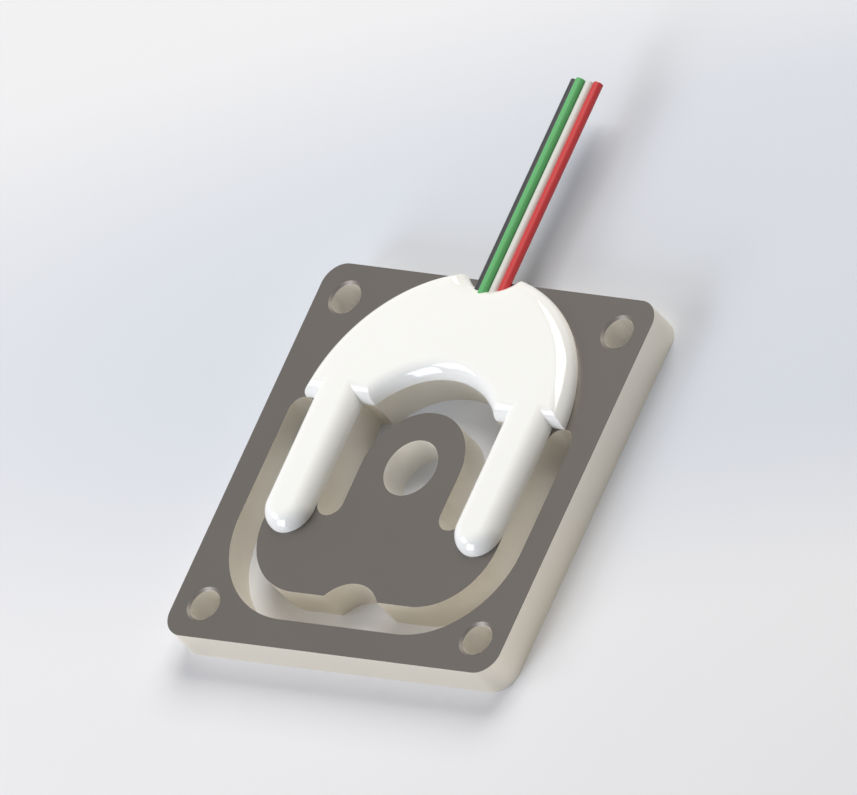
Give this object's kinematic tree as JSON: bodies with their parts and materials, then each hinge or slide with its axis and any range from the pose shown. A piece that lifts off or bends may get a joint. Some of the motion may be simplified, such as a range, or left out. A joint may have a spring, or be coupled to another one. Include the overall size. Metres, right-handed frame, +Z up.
{
  "type": "compression load cell",
  "caption": "Flat square load cell: a slotted steel plate with bending beams round a load hole, white potting over the strain gauges, and short coloured leads.",
  "frame": {"origin": "middle of the plate's underside, where the axis of the load hole meets it", "axes": "+Z up out of the potted face, +Y towards the leads, +X to the red lead's side"},
  "size_m": [0.034, 0.052, 0.0044],
  "materials": {
    "plate_steel": "fine ground, uncoated",
    "potting_resin": "cast, smooth and glossy",
    "gauge_film": "clear amber polyimide film",
    "gauge_foil": "etched copper-nickel foil",
    "solder": "bright solder",
    "enamelled_copper": "copper under clear enamel",
    "board_laminate": "glass and resin laminate",
    "copper_pad": "bare copper foil",
    "tinned_copper": "tinned copper wire",
    "black_insulation": "extruded, satin",
    "green_insulation": "extruded, satin",
    "white_insulation": "extruded, satin",
    "red_insulation": "extruded, satin"
  },
  "bodies": {
    "root": {"sensing_plate": "plate_steel", "potting": "potting_resin", "gauge_film_left": "gauge_film", "gauge_film_right": "gauge_film", "gauge_foil_left": "gauge_foil", "gauge_foil_right": "gauge_foil", "gauge_solder_left": "solder", "gauge_solder_right": "solder", "jumper_left_black": "enamelled_copper", "jumper_left_green": "enamelled_copper", "jumper_left_red": "enamelled_copper", "jumper_right_black": "enamelled_copper", "jumper_right_white": "enamelled_copper", "jumper_right_red": "enamelled_copper", "terminal_board": "board_laminate", "terminal_pads": "copper_pad", "lead_solder_black": "solder", "lead_solder_green": "solder", "lead_solder_white": "solder", "lead_solder_red": "solder", "lead_conductor_black": "tinned_copper", "lead_conductor_green": "tinned_copper", "lead_conductor_white": "tinned_copper", "lead_conductor_red": "tinned_copper", "lead_insulation_black": "black_insulation", "lead_insulation_green": "green_insulation", "lead_insulation_white": "white_insulation", "lead_insulation_red": "red_insulation"}
  },
  "joints": []
}
